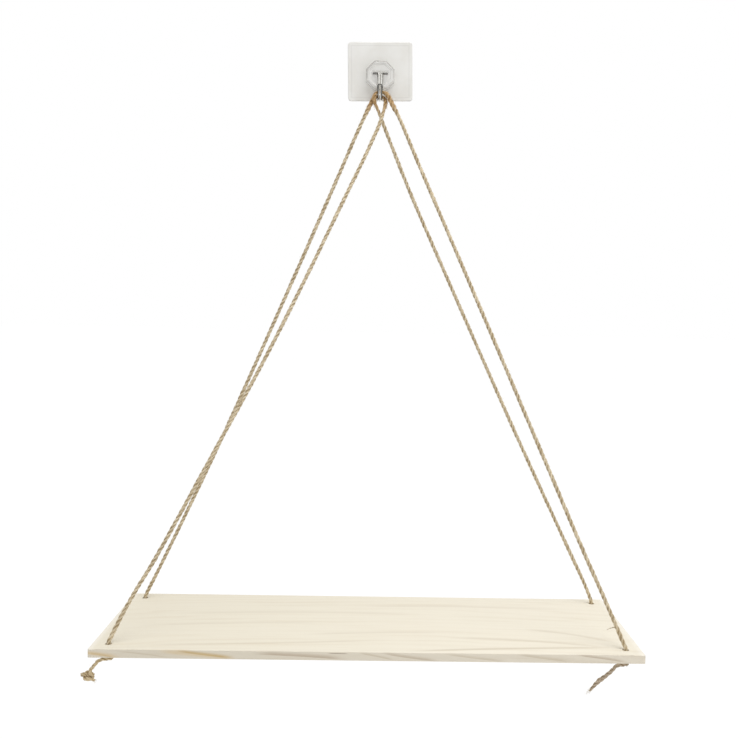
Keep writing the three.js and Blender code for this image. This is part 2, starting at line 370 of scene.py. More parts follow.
# %% [markdown]
# ## Rope routes
# Each rope comes up from the knot under one hole, goes over the hook and down to the knot under the
# next hole. These are the points that the solid model's tubes follow, in millimetres. A centripetal
# spline through them gives one smooth line with no loops between close points.

# %% Rope routes
left_rope_route = [
    (-212, -14, -501.7), (-212, -14, -499.2), (-211.7, -14, -495.5), (-209.8, -13.9, -491),
    (-203, -13.9, -477), (-195.8, -13.8, -462), (-146.4, -13.3, -355), (-109.9, -13, -271),
    (-71.5, -12.6, -181), (-34.9, -12.2, -93.5), (-21.4, -11.9, -61), (-14.2, -11.6, -44.5),
    (-9.4, -11.2, -34), (-7.2, -10.9, -29.5), (-5.2, -10.7, -26.6), (-3, -10.6, -25),
    (0, -10.6, -24.5), (3, -10.7, -25.1), (4.9, -11.2, -27.2), (5.4, -12.4, -30.3),
    (4.7, -14.2, -34.6), (3.6, -16.3, -39.5), (1.7, -18.5, -46.4), (-0.9, -20.7, -54.5),
    (-4.3, -22.8, -62.7), (-11.6, -27.5, -80.5), (-29.6, -38.3, -121), (-61.5, -57.4, -193),
    (-95.8, -77, -267), (-133.4, -97, -342), (-179.6, -121.2, -433), (-192.4, -127.1, -455.5),
    (-202.7, -132.4, -475.3), (-209.8, -136.6, -491), (-211.7, -137.8, -495.5), (-212, -138, -499.2),
    (-212, -138, -501.7),
]
right_rope_route = [
    (212, -138, -501.7), (212, -138, -499.2), (211.7, -137.8, -495.5), (209.8, -136.5, -491),
    (203.4, -132.5, -476), (192.3, -125.8, -450.5), (181.7, -119.5, -427), (149.6, -99.5, -352),
    (115.9, -78.6, -273), (83, -58.2, -196), (50.2, -37.9, -120), (35.6, -29, -86),
    (24.9, -22.4, -60.5), (18.2, -18.9, -45), (14, -17, -37), (10, -15.3, -29.4),
    (8.2, -14.5, -25.7), (6.4, -13.9, -23.1), (4, -13.6, -21.5), (1, -13.5, -21),
    (-2, -13.6, -21.5), (-4.2, -14.1, -23.3), (-5.2, -14.4, -26), (-5.1, -14.3, -28.7),
    (-4, -13.8, -32), (-1.4, -13, -37.5), (1.6, -12.4, -44.5), (5, -12.2, -53),
    (13.5, -12.3, -73.5), (32.2, -12.5, -117), (66.2, -12.8, -190), (101.4, -13.1, -265),
    (138.2, -13.4, -342.5), (193.3, -13.9, -455), (203, -13.9, -474.5), (209.8, -13.9, -490),
    (211.7, -14, -495.5), (212, -14, -499.2), (212, -14, -501.7),
]
spline_steps = 24
rope_ring_gap = 0.75 * MM


def distances(line):
    """How far along the line each of its points is."""
    return np.concatenate([[0], np.cumsum(np.linalg.norm(np.diff(line, axis=0), axis=1))])


def read_off(at, places, values):
    """Vectors read off between the places where they are given."""
    return np.stack([np.interp(at, places, values[:, axis]) for axis in range(3)], axis=1)


def smooth_line(points, spacing):
    """Evenly spaced points on a centripetal spline through the given points, in metres."""
    given = np.array(points, float) * MM
    given = np.vstack([2 * given[0] - given[1], given, 2 * given[-1] - given[-2]])
    share = np.linspace(0, 1, spline_steps, endpoint=False)[:, None]
    stretches = []
    for before, start, end, after in zip(given, given[1:], given[2:], given[3:]):
        gaps = (start - before, end - start, after - end)
        first, middle, last = (math.sqrt(np.linalg.norm(gap)) for gap in gaps)
        leaving = gaps[0] / first - (end - before) / (first + middle) + gaps[1] / middle
        arriving = gaps[1] / middle - (after - start) / (middle + last) + gaps[2] / last
        leaving, arriving = leaving * middle, arriving * middle
        square = 3 * (end - start) - 2 * leaving - arriving
        cube = 2 * (start - end) + leaving + arriving
        stretches.append(start + leaving * share + square * share**2 + cube * share**3)
    dense = np.vstack([*stretches, given[-2:-1]])
    along = distances(dense)
    even = np.linspace(0, along[-1], math.ceil(along[-1] / spacing) + 1)
    return read_off(even, along, dense)


def line_length(line):
    return float(np.linalg.norm(np.diff(line, axis=0), axis=1).sum())


rope_routes = {"left_rope": left_rope_route, "right_rope": right_rope_route}
rope_lines = {node: smooth_line(route, rope_ring_gap) for node, route in rope_routes.items()}
print({node: round(line_length(line), 3) for node, line in rope_lines.items()}, "m")

# %% [markdown]
# ## Bending a straight piece along a line
# A rope, a tail and a bent wire are all easiest to make straight, standing on the Z axis, and to bend
# afterwards. At each height the piece is carried to the same distance along the line. The two side
# directions go along without any turn of their own, so that the rope's twist stays even in every bend.


# %% Bend a straight piece along a line
def unit(vectors):
    return vectors / np.linalg.norm(vectors, axis=-1, keepdims=True)


def carried_sides(line):
    """The directions along the line, and two side directions carried along it without turning."""
    ahead = unit(np.gradient(line, axis=0))
    first = np.cross(ahead[0], (0, 1, 0) if abs(ahead[0][1]) < 0.9 else (1, 0, 0))
    side = [unit(first)]
    for i in range(1, len(line)):
        step = line[i] - line[i - 1]
        moved = side[-1] - 2 * step * (step @ side[-1]) / (step @ step)
        tilted = ahead[i - 1] - 2 * step * (step @ ahead[i - 1]) / (step @ step)
        turn = ahead[i] - tilted
        moved = moved - 2 * turn * (turn @ moved) / max(turn @ turn, 1e-18)
        side.append(unit(moved - ahead[i] * (moved @ ahead[i])))
    side = np.array(side)
    return ahead, side, np.cross(ahead, side)


def bent_along(places, line):
    """Places of a straight piece on the Z axis, carried onto the line."""
    along = distances(line)
    height = np.clip(places[:, 2], 0, along[-1])
    past = (places[:, 2] - height)[:, None]
    ahead, side, other = (read_off(height, along, ways) for ways in carried_sides(line))
    return read_off(height, along, line) + side * places[:, :1] + other * places[:, 1:2] + ahead * past


# %% [markdown]
# ## Laid rope
# Jute cord of this size is three strands laid round each other to the right, once round in about 15 mm.
# Three overlapping circles give the outline of a cut through it. The Screw modifier turns that outline
# while it lifts it, which makes the strands and their grooves at once. A real rope is uneven, so its
# thickness, its twist and each strand on its own wander a little. Soft strands stand out past the
# solid's smooth tube, so it is laid somewhat fuller. Beside the hook it opens up and grows thicker, and
# where the wire holds it, it is pinched.

# %% Laid rope
rope_radius = 1.5 * MM
rope_lay = 15 * MM
strand_count = 3
strand_turn = 2 * math.pi / strand_count
outline_sides = 30
strand_reach_share = 0.46
strand_radius_share = 0.54
thickness_wander, thickness_stretch = 0.07, 9 * MM
strand_wander, strand_stretch = 0.05, 6 * MM
twist_wander, twist_stretch = 0.5, 40 * MM
rope_fullness = 1.18
bend_swelling = 0.26
bend_open_height = -45 * MM
bend_full_height = -36 * MM
hook_pinch = 0.23
held_reach, free_reach = 3.6 * MM, 5.8 * MM


def wander(heights, spacing, random):
    """A smooth random value from about -1 to 1 that changes over the spacing along the rope."""
    count = max(4, math.ceil((heights.max() - heights.min()) / spacing) + 3)
    values = random.uniform(-1, 1, count)
    place = (heights - heights.min()) / spacing
    whole = np.floor(place).astype(int)
    share = place - whole
    share = share * share * (3 - 2 * share)
    return values[whole] * (1 - share) + values[whole + 1] * share


def lobed_reach(turn):
    """How far the outline of three strands reaches at this turn, as a share of the rope's radius."""
    off = (turn + strand_turn / 2) % strand_turn - strand_turn / 2
    across = strand_reach_share * np.sin(off)
    return strand_reach_share * np.cos(off) + np.sqrt(strand_radius_share**2 - across**2)


def straight_rope(length, radius, lay):
    """A straight rope up the Z axis, closed at both ends."""
    outline = bmesh.new()
    bmesh.ops.create_circle(outline, cap_ends=False, segments=outline_sides, radius=radius)
    for point in outline.verts:
        point.co *= lobed_reach(math.atan2(point.co.y, point.co.x))
    holder = to_object("rope_outline", outline, None)
    twist = adjusted(holder.modifiers.new("lay", "SCREW"), axis="Z", screw_offset=length)
    twist.angle = 2 * math.pi * length / lay
    twist.steps = twist.render_steps = math.ceil(length / rope_ring_gap)
    shape = with_modifiers(holder)
    bpy.data.meshes.remove(holder.data)
    open_ends = [edge for edge in shape.edges if edge.is_boundary]
    bmesh.ops.holes_fill(shape, edges=open_ends, sides=outline_sides)
    bmesh.ops.recalc_face_normals(shape, faces=shape.faces)
    return shape


def rope_piece(name, line, finish, seed, radius=rope_radius, lay=rope_lay, taper=None):
    """A laid rope bent along a line. Its taper: shares of its length and of its radius there."""
    random = np.random.default_rng(seed)
    length = line_length(line)
    made = to_object(name, straight_rope(length, radius, lay), finish)
    places = mesh_places(made.data)
    height = places[:, 2].copy()
    turn = np.arctan2(places[:, 1], places[:, 0]) - 2 * math.pi * height / lay
    strand = np.round(turn / strand_turn).astype(int) % strand_count
    reach = np.hypot(places[:, 0], places[:, 1]) / radius
    fullness = 1 + thickness_wander * wander(height, thickness_stretch, random)
    for which in range(strand_count):
        fullness += (strand == which) * strand_wander * wander(height, strand_stretch, random)
    if taper is not None:
        fullness *= np.interp(height / length, *zip(*taper))
    slip = twist_wander * wander(height, twist_stretch, random)
    swung = places[:, 0] + 1j * places[:, 1]
    swung *= np.exp(1j * slip) * fullness
    keep_values(made.data, "laid", places / MM)
    keep_values(made.data, "crown", reach)
    keep_values(made.data, "strand", strand + 0.0)
    set_places(made.data, bent_along(np.stack([swung.real, swung.imag, height], axis=1), line))
    return made


# %% [markdown]
# ## Jute finish
# Jute is a dull, pale brown bundle of straws of every tone from straw yellow to grey brown, nearly in
# line with the rope, with painted shade in the grooves between the strands. Each point kept its place on
# the straight rope, in millimetres, so the straws can follow the strands. Near the hook, where the ropes
# bear on it, painted shade and rubbing make them darker and browner.

# %% Jute finish
jute_straw = paint(227, 213, 184)
jute_middle = paint(202, 185, 154)
jute_dark = paint(171, 151, 117)
# Painted shade for the grooves between the strands.
jute_groove_shade = paint(165, 145, 111)
# Painted shade near the hook, with rubbing: the ropes and their fibres there are tinted darker and
# browner.
hook_shade_and_rub_tint = paint(226, 192, 142)
hook_shade_and_rub_from, hook_shade_and_rub_to, hook_shade_and_rub_share, fibre_hook_shade_and_rub_share = -46 * MM, -30 * MM, 0.75, 0.8
jute_tones = [(0.55, jute_dark), (0.71, jute_middle), (0.88, jute_straw)]
fibre_tones = [(0.3, jute_dark), (0.5, jute_middle), (0.7, jute_straw)]
straw_stretch = (6, 6, 0.55)
fine_straw_stretch = (17, 17, 1.3)
patch_stretch = (0.1, 0.1, 0.08)
groove_stretch = (0.3, 0.3, 0.13)
straw_share, fine_straw_share, patch_share, strand_share = 0.62, 0.38, 0.45, 0.03
groove_depths = (-0.1, 0.18)
groove_reaches = (0.7, 0.93)
straw_height = 0.16 * MM


def shaded_and_rubbed_near_hook(colour, share):
    """The colour, darker and browner near the hook: painted shade there, and rubbing where the ropes
    bear on the wire.
    """
    _, _, height = parts_of(object_place(colour.tree))
    return tinted(colour, hook_shade_and_rub_tint, eased(height, hook_shade_and_rub_from, hook_shade_and_rub_to, 0, share))


def jute_finish(name, tint=(1, 1, 1, 1)):
    material, tree = new_finish(name)
    laid = kept(tree, "laid")
    straws = noise(laid, straw_stretch, detail=4, roughness=0.65)
    fine_straws = noise(laid, fine_straw_stretch, detail=2)
    patches = noise(laid, patch_stretch)
    tone = straws * straw_share + fine_straws * fine_straw_share
    tone = tone + patches * patch_share + kept(tree, "strand", "Fac") * strand_share
    colour = ramp(tone, jute_tones)
    # Painted shade: the grooves between the strands are darkened towards the groove colour, while the
    # crowns keep the straws' colour.
    patchy = eased(noise(laid, groove_stretch, detail=2), 0.35, 0.65, *groove_depths)
    clear_of_groove_shade = eased(kept(tree, "crown", "Fac") + patchy, *groove_reaches)
    colour = shaded_and_rubbed_near_hook(blended(clear_of_groove_shade, jute_groove_shade, colour), hook_shade_and_rub_share)
    return filled(
        material,
        Base_Color=tinted(colour, tint),
        Roughness=0.88,
        Sheen_Weight=0.25,
        Sheen_Roughness=0.5,
        Specular_IOR_Level=0.25,
        Normal=raised(straws + fine_straws, straw_height, 0.8),
    )


def taper_at_hook(line):
    """A taper for the whole rope: pinched where the wire holds it and opened up beside the wire."""
    opened = np.interp(line[:, 2], (bend_open_height, bend_full_height), (0, 1))
    change = np.interp(np.abs(line[:, 0]), (held_reach, free_reach), (-hook_pinch, bend_swelling))
    return list(zip(np.linspace(0, 1, len(line)), rope_fullness + opened * change))


jute = jute_finish("jute")
first_rope_seed = 3
ropes = {}
for seed, (node, line) in enumerate(rope_lines.items(), first_rope_seed):
    rope = rope_piece(node + "_laid", line, jute, seed, taper=taper_at_hook(line))
    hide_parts(node)
    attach(rope, "shelf")
    ropes[node] = rope
    print(rope.name, len(rope.data.polygons), "faces")

# %% [markdown]
# ## Knots and tails
# Under each hole an overhand knot keeps the rope from slipping back, and its cut end hangs on as a
# short tail. The rope comes straight in and bends over the knot's side. From there a formula carries it
# twice round the knot's middle while it weaves in and out three times. All of it is counted from the
# rope that comes in, in shares of the rope's thickness. The front left tail ends in a second knot.

# %% Knots and tails
knotted_radius = 1.3 * MM
knotted_lay = 13 * MM
knotted_ring_gap = 0.8 * rope_ring_gap
knot_drop = 4.2 * MM
hole_inset = 13 * MM
board_low, board_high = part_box("shelf_board")
rope_start_shares = [(0, 0, 2.96)]
knot_bend_shares = [
    (0, 0, 2.36), (0, 0, 1.95), (0, 0.03, 1.56), (0.02, 0.2, 1.21),
    (0.05, 0.58, 0.96), (-0.06, 0.98, 0.87), (-0.36, 1.27, 0.8),
]
knot_exit_shares = [(0.04, -0.32, -0.46), (0.33, 0.2, -0.4), (0.38, 0.9, -0.42)]
knot_ring_centre = (-1.62, 0.3)
knot_ring_share = 1.25
knot_weave_share = 0.57
knot_rise_share = 0.7
knot_turns = (0.45, 2 * math.pi - 0.33, 41)
front_left_tail = [(-6.8, -2.6, -2), (-9.9, -3.1, -5.2)]
end_knot_place = (-14.7, -3.6, -15.7)
end_knot_stub = [(3.5, 0.5, -1.9), (4.6, 0.5, -2.8)]
front_right_tail = [
    (-7.6, -2.6, -1.4), (-12.3, -3.2, -5.9), (-17.5, -3.6, -10.2),
    (-22.2, -4, -13.7), (-25.9, -4.4, -17.2), (-30.1, -4.9, -21.9),
]
back_left_tail = [(4.8, -1.4, -2.6), (7.2, -1.8, -6), (8.4, -2, -10.5), (8.8, -2.2, -15)]
back_right_tail = [(-4.8, 1.4, -2.8), (-7, 1.6, -6.4), (-8, 1.2, -10.8), (-8.4, 0.8, -15)]


def knot_axes(comes_from, leaves_to, mirrored=False):
    """A knot's axes as columns: the third to where the rope comes from, the second where it leaves."""
    coming = unit(np.array(comes_from, float))
    leaving = np.array(leaves_to, float)
    leaving = unit(leaving - coming * (leaving @ coming))
    sideways = np.cross(leaving, coming) * (-1 if mirrored else 1)
    return np.stack([sideways, leaving, coming], axis=1)


def overhand_knot(axes, lead_in=()):
    """The line of a drawn-up overhand knot, in millimetres from the rope that comes in."""
    turns = np.linspace(*knot_turns)
    reach = knot_ring_share + knot_weave_share * np.cos(3 * turns)
    aside = knot_ring_centre[0] + reach * np.cos(2 * turns)
    along = knot_ring_centre[1] + reach * np.sin(2 * turns)
    woven = np.stack([aside, along, knot_rise_share * np.sin(3 * turns)], axis=1)
    shares = np.vstack([*lead_in, knot_bend_shares, woven, knot_exit_shares])
    return shares * (2 * knotted_radius / MM) @ axes.T


def tied_end(side, front, tail_side, *tail, mirrored=False):
    """A rope's line under its hole: the knot, drawn towards the tail's side, and the tail."""
    axes = knot_axes((0, 0, 1), (tail_side, 0, 0), mirrored)
    points = np.vstack([overhand_knot(axes, rope_start_shares), *tail])
    middle = (
        (board_high.x - hole_inset) * side,
        board_low.y + hole_inset if front else board_high.y - hole_inset,
        board_low.z - knot_drop,
    )
    return smooth_line(points + np.array(middle) / MM, knotted_ring_gap)


end_knot = np.vstack([overhand_knot(knot_axes((0.2, 0.1, 0.97), (0.81, 0.57, 0))), end_knot_stub])
end_knot_taper = [(0, 1.12), (0.06, 1.08), (0.5, 1.08), (0.56, 1.18), (0.96, 1.18), (1, 0.8)]
short_tail_taper = [(0, 1.12), (0.06, 1.08), (0.9, 1.08), (1, 0.8)]
long_tail_taper = [
    (0, 1.12), (0.06, 1.08), (0.45, 1.1), (0.53, 1.3), (0.58, 1.2), (0.64, 1.45),
    (0.7, 1.2), (0.8, 1.2), (0.87, 1.6), (0.94, 1.25), (1, 0.5),
]
front_left_end = tied_end(-1, True, -1, front_left_tail, end_knot + end_knot_place, mirrored=True)
tied_ends = {
    "knot_front_left": (front_left_end, end_knot_taper),
    "knot_front_right": (tied_end(1, True, -1, front_right_tail, mirrored=True), long_tail_taper),
    "knot_back_left": (tied_end(-1, False, 1, back_left_tail), short_tail_taper),
    "knot_back_right": (tied_end(1, False, -1, back_right_tail), short_tail_taper),
}
tail_finishes = {
    "knot_front_left": jute_finish("jute_golden", (1.08, 1.04, 0.94, 1)),
    "knot_front_right": jute_finish("jute_brown", (0.79, 0.77, 0.84, 1)),
}
first_knot_seed = 10
knots = {}
for seed, (node, (line, taper)) in enumerate(tied_ends.items(), first_knot_seed):
    finish = tail_finishes.get(node, jute)
    knot = rope_piece(node + "_laid", line, finish, seed, knotted_radius, knotted_lay, taper)
    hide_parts(node)
    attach(knot, "shelf")
    knots[node] = knot
    print(node, f"{line_length(line):.3f} m of rope,", len(knot.data.polygons), "faces")

# %% [markdown]
# ## Loose fibres
# What makes jute look like jute is its fuzz: fibre ends a few millimetres long and thinner than a tenth
# of one. Copies of one straight three-sided straw are strewn along the rope at random, each with its
# own heading, length and curl. Longer ones, close together, make the brushes at the cut ends. Over the
# hook the fuzz is thicker and points away from the wire.

# %% Loose fibres
fibre_radius = 0.045 * MM
fibre_tip_share = 0.3
fibre_cuts = 3
fuzz_per_metre = 2200
fuzz_shortest, fuzz_longest = 0.8 * MM, 3.6 * MM
fuzz_start_share = 0.75
wire_clearance = 3.6 * MM
bend_fuzz_reach = 14 * MM
bend_fuzz_count = 1300
brush_radius = 0.8 * knotted_radius
fibre_patch_scale = 420


def straight_fibre():
    """A tapered straw of one unit's radius and one unit's height."""
    shape = bmesh.new()
    add_bar(shape, 3, 1, 1, (0, 0, 0.5), fibre_tip_share)
    upright = [edge for edge in shape.edges if rise(edge) > 0.5]
    bmesh.ops.subdivide_edges(shape, edges=upright, cuts=fibre_cuts, use_grid_fill=True)
    mesh = bpy.data.meshes.new("straw")
    shape.to_mesh(mesh)
    shape.free()
    return mesh


straw = straight_fibre()


def strewn_fibres(name, starts, headings, lengths, random, finish):
    """One piece of many copies of the straw, each curled on its own."""
    count = len(starts)
    curl_way = unit(np.cross(headings, random.normal(size=(count, 3))))[:, None]
    across = np.cross(headings[:, None], curl_way)
    curl = random.uniform(0.1, 0.9, (count, 1, 1))
    x, y, share = (axis[None, :, None] for axis in mesh_places(straw).T)
    spine = share * headings[:, None] + 0.5 * curl * share**2 * curl_way
    round_it = fibre_radius * (x * curl_way + y * across)
    places = starts[:, None] + lengths[:, None, None] * spine + round_it
    shape = bmesh.new()
    for _ in range(count):
        shape.from_mesh(straw)
    made = to_object(name, shape, finish)
    set_places(made.data, places.reshape(-1, 3))
    return made


def ways_at(line, which, random):
    """At some points of a line, the way along it and a random way out of it."""
    ahead, side, other = carried_sides(line)
    turn = random.uniform(0, 2 * math.pi, len(which))[:, None]
    return ahead[which], np.cos(turn) * side[which] + np.sin(turn) * other[which]


def away_from_wire(starts, headings, lengths):
    """Leaves out the fibres beside the hook's wire, and turns those near it outwards."""
    at_hook = starts[:, 2] > bend_open_height
    near = at_hook & (np.abs(starts[:, 0]) < bend_fuzz_reach)
    headings[near, 0] = np.abs(headings[near, 0]) * np.sign(starts[near, 0])
    clear = ~at_hook | (np.abs(starts[:, 0]) > wire_clearance)
    return starts[clear], headings[clear], lengths[clear]


def fuzz_along(line, radius, random):
    """Starts, headings and lengths for the fuzz of one rope."""
    count = int(line_length(line) * fuzz_per_metre)
    which = random.integers(2, len(line) - 2, count)
    ahead, outward = ways_at(line, which, random)
    lean = random.uniform(-1, 1, count)[:, None]
    steep = np.abs(lean)
    headings = unit(ahead * np.sign(lean) * (1.1 - 0.6 * steep) + outward * (0.35 + 0.7 * steep))
    starts = line[which] + outward * radius * fuzz_start_share
    lengths = fuzz_shortest + (fuzz_longest - fuzz_shortest) * random.random(count) ** 3
    return away_from_wire(starts, headings, lengths)


def fuzz_over_hook(line, random):
    """Short thick fuzz where the rope is bent over the hook."""
    which = random.choice(np.flatnonzero(line[:, 2] > bend_full_height), bend_fuzz_count)
    ahead, outward = ways_at(line, which, random)
    headings = unit(ahead * random.uniform(-1.2, 1.2, (bend_fuzz_count, 1)) + outward)
    starts = line[which] + outward * rope_radius * (1 + bend_swelling) * fuzz_start_share
    lengths = fuzz_shortest * random.uniform(0.8, 3, bend_fuzz_count)
    return away_from_wire(starts, headings, lengths)


def brush_at(line, random, count, longest, spread, back):
    """Starts, headings and lengths for the brush of fibres at a cut end."""
    ahead, outward = ways_at(line, np.full(count, -1), random)
    reach = np.sqrt(random.random(count))[:, None]
    starts = line[-1] - ahead * random.uniform(0, back, count)[:, None] + outward * reach * brush_radius
    ruffled = random.normal(size=(count, 3)) * spread * 0.3
    headings = unit(ahead + outward * reach * spread + ruffled)
    return starts, headings, longest * random.uniform(0.35, 1, count)


def fibre_finish():
    material, tree = new_finish("jute_fibre")
    colour = ramp(noise(object_place(tree), fibre_patch_scale, 2), fibre_tones)
    return filled(material, Base_Color=shaded_and_rubbed_near_hook(colour, fibre_hook_shade_and_rub_share), Roughness=0.7)


def fuzz_piece(node, line, radius, seed, more, *numbers):
    """The fuzz along a rope or a knot, and more fibres where it is bent or cut."""
    random = np.random.default_rng(seed)
    kinds = fuzz_along(line, radius, random), more(line, random, *numbers)
    both = [np.concatenate(pair) for pair in zip(*kinds)]
    return strewn_fibres(node + "_fuzz", *both, random, loose_jute)


loose_jute = fibre_finish()
first_fuzz_seed = 31
fuzz = {}
for seed, (node, line) in enumerate(rope_lines.items(), first_fuzz_seed):
    fuzz[node] = fuzz_piece(node, line, rope_radius, seed, fuzz_over_hook)
brushes = {
    "knot_front_left": (26, 3.2 * MM, 0.55, 1 * MM),
    "knot_front_right": (60, 6.5 * MM, 0.22, 7 * MM),
    "knot_back_left": (34, 4.5 * MM, 0.45, 2 * MM),
    "knot_back_right": (34, 4.5 * MM, 0.45, 2 * MM),
}
first_brush_seed = 50
for seed, (node, brush) in enumerate(brushes.items(), first_brush_seed):
    fuzz[node] = fuzz_piece(node, tied_ends[node][0], knotted_radius, seed, brush_at, *brush)
for piece in fuzz.values():
    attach(piece, "shelf")
    print(piece.name, len(piece.data.polygons), "faces")

# %% [markdown]
# ## Stray yarn
# On the front right leg one thin yarn has worked loose and stands out to the left, just above the
# board: a short tapered tube, twisted like the rope and bent in a slight bow.

# %% Stray yarn
stray_route = [
    (206.2, -134.4, -480.5), (203.6, -132.8, -480.2), (200.6, -131.4, -481.2), (197.6, -130.4, -483),
]
stray_radius = 0.45 * MM
stray_lay = 3 * MM
stray_line = smooth_line(stray_route, 0.3 * MM)
stray_taper = [(0, 1.2), (0.5, 0.9), (1, 0.35)]
stray = rope_piece("stray_yarn", stray_line, jute, 61, stray_radius, stray_lay, stray_taper)
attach(stray, "shelf")
print(f"stray yarn {line_length(stray_line) / MM:.1f} mm")

# %% [markdown]
# ## The pieces on each rope
# Each rope runs from the hole where it leaves its first knot to the knot under its other hole, and the
# shelf's weight pulls it straight. The knots, the fuzz and the stray yarn are the pieces on it; each
# rope's length and these pieces are printed.

cords = {
    "left_rope": ["knot_back_left", "knot_front_left"],
    "right_rope": ["knot_front_right", "knot_back_right"],
}
for node, ends in cords.items():
    rope, line = ropes[node], rope_lines[node]
    on_it = [fuzz[name] for name in [node, *ends]] + [knots[name] for name in ends]
    on_it += [stray] if node == "right_rope" else []
    print(rope.name, round(line_length(line), 3), "m, with", [piece.name for piece in on_it])

# %% [markdown]
# ## Wire hook
# The hook is one bright wire, doubled back on itself. Its ends turn outwards as two arms inside the
# hub, its two wires come down side by side, and the closed end curls up into a narrow eye. It is made
# as a straight round bar with many cuts along it and bent along its line, like the ropes.

# %% Wire hook
wire_radius = 0.95 * MM
wire_sides = 24
wire_ring_gap = 0.35 * MM
wire_end_round = 0.25 * MM
wire_gap = 0.4 * MM
arm_reach = 7 * MM
arm_bend_radius = 1.7 * MM
tip_half_width = 1.6 * MM
tip_rise = 9.6 * MM
hook_bend_radius = 4.4 * MM
stem_length = 20.7 * MM
wire_bright = paint(244, 243, 239)
wire_grey = paint(216, 214, 208)
# A painted dark reflection, for the eye and the arms.
wire_reflection_dark = paint(52, 49, 43)
dark_reflection_share = 0.95
scratch_stretch = (14, 14, 0.7)
wire_patch_stretch = (0.5, 0.5, 0.3)
scratch_depth = 0.01 * MM
pivot = Vector(next(joint for joint in frame["joints"] if joint["name"] == "hook_turn")["pos_m"])
eye_height = pivot.z - stem_length + tip_rise - wire_radius - tip_half_width
eye_depth = pivot.y - 2 * hook_bend_radius


def arc(steps, start, end, middle, radius, way):
    """Places on an upright arc, from one angle to another, that opens along X or along Y."""
    turn = np.linspace(start, end, steps)[:, None]
    return middle + radius * (np.cos(turn) * way + np.sin(turn) * (0, 0, 1))


def half_hook_route():
    """The wire's line from the end of its left arm to the top of the eye at its tip."""
    along_x, along_y = np.eye(3)[:2]
    stem = wire_gap / 2 + wire_radius
    arm_middle = (-stem - arm_bend_radius, pivot.y, pivot.z - arm_bend_radius)
    bend_middle = (-stem, pivot.y - hook_bend_radius, pivot.z - stem_length)
    eye_middle = (0, eye_depth, eye_height)
    arm_bend = arc(5, math.pi / 2, 0, arm_middle, arm_bend_radius, along_x)
    bend = arc(13, 0, -math.pi, bend_middle, hook_bend_radius, along_y)
    eye = arc(5, math.pi, math.pi / 2, eye_middle, tip_half_width, along_x)
    return [(-arm_reach, pivot.y, pivot.z), *arm_bend, *bend, *eye]


def wire_hook(finish):
    half = half_hook_route()
    other_half = [(-x, y, z) for x, y, z in reversed(half[:-1])]
    line = smooth_line(np.array([*half, *other_half]) / MM, wire_ring_gap)
    length = line_length(line)
    shape = bmesh.new()
    add_bar(shape, wire_sides, wire_radius, length, (0, 0, length / 2))
    rims = [edge for edge in shape.edges if rise(edge) < MM]
    round_off(shape, rims, wire_end_round, 3, clamp_overlap=True)
    upright = [edge for edge in shape.edges if rise(edge) > length / 2]
    bmesh.ops.subdivide_edges(shape, edges=upright, cuts=len(line), use_grid_fill=True)
    made = to_object("wire_hook", shape, finish)
    places = mesh_places(made.data)
    keep_values(made.data, "drawn", places / MM)
    set_places(made.data, bent_along(places, line))
    return made, length


def wire_finish():
    """Bright drawn wire, scratched along its length, with painted dark reflections on the outer side of
    the eye and on the two arms.
    """
    material, tree = new_finish("bright_wire")
    drawn = kept(tree, "drawn")
    scratches = noise(drawn, scratch_stretch)
    patches = noise(drawn, wire_patch_stretch, detail=2)
    colour = ramp(patches, [(0.3, wire_grey), (0.7, wire_bright)])
    x, y, z = parts_of(object_place(tree))
    aside = abs(x)
    # Painted dark reflections: the eye's outer side and the arms inside the hub take the dark colour,
    # standing for the darker room that the wire there mirrors.
    eye_dark_reflection = eased(y, eye_depth + 3.5 * MM, eye_depth + 1.2 * MM)
    eye_dark_reflection = eye_dark_reflection * eased(aside.larger(z - eye_height), 0.8 * MM, 1.3 * MM)
    stem_edge = wire_gap / 2 + 2 * wire_radius
    arm_dark_reflection = eased(aside, stem_edge - 0.6 * MM, stem_edge + 0.4 * MM)
    return filled(
        material,
        Base_Color=blended(eye_dark_reflection.larger(arm_dark_reflection) * dark_reflection_share, colour, wire_reflection_dark),
        Metallic=1.0,
        Roughness=eased(scratches, 0.2, 0.8, 0.12, 0.3),
        Normal=raised(scratches, scratch_depth, 0.5),
    )


hook, wire_length = wire_hook(wire_finish())
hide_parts("steel_hook")
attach(hook, "hook")
print(f"hook wire {wire_length / MM:.0f} mm, {len(hook.data.polygons)} faces")

# %% [markdown]
# ## Clear wall plate, hub and film
# Plate and hub are moulded in clear, slightly milky plastic, with a soft film of glue behind. The
# solids already have the true form, so a merged copy of each only has its edges rounded, which gives
# the light lines of a moulded edge. The plate was stuck on a little askew, so its copy and the film's
# are turned about the hook's pivot. The film's edge shows faintly through the plate, painted shade makes
# a darker line round the hub's foot, and the hub covers least where it is thin, over the hook's two
# arms.

# %% Clear plastic pieces
plate_edge_round = 0.25 * MM
hub_edge_round = 0.35 * MM
plate_lean = math.radians(1.4)
plate_tint = paint(234, 232, 226)
hub_tint = paint(254, 253, 250)
film_tint = paint(228, 226, 220)
milky = paint(250, 250, 248)
milky_shares = (0.08, 0.42)
# The grey of the film's faint edge line, and of the painted shade round the hub's foot.
line_and_shade_grey = paint(142, 139, 132)
film_inset = 3.3 * MM
film_edge_width, film_edge_share = 0.9 * MM, 0.1
hub_shade_from, hub_shade_to = 1.4 * MM, 0.7 * MM
hub_cover, thin_cover = 0.42, 0.08
clearness = 0.1
plastic_ior = 1.49
grit_scale, grit_height = 2600, 0.01 * MM


def flatten_shading(made):
    """Keeps large flat faces flat in the light, next to narrow rounded ones."""
    adjusted(made.modifiers.new("flat_faces", "WEIGHTED_NORMAL"), keep_sharp=True, weight=100)


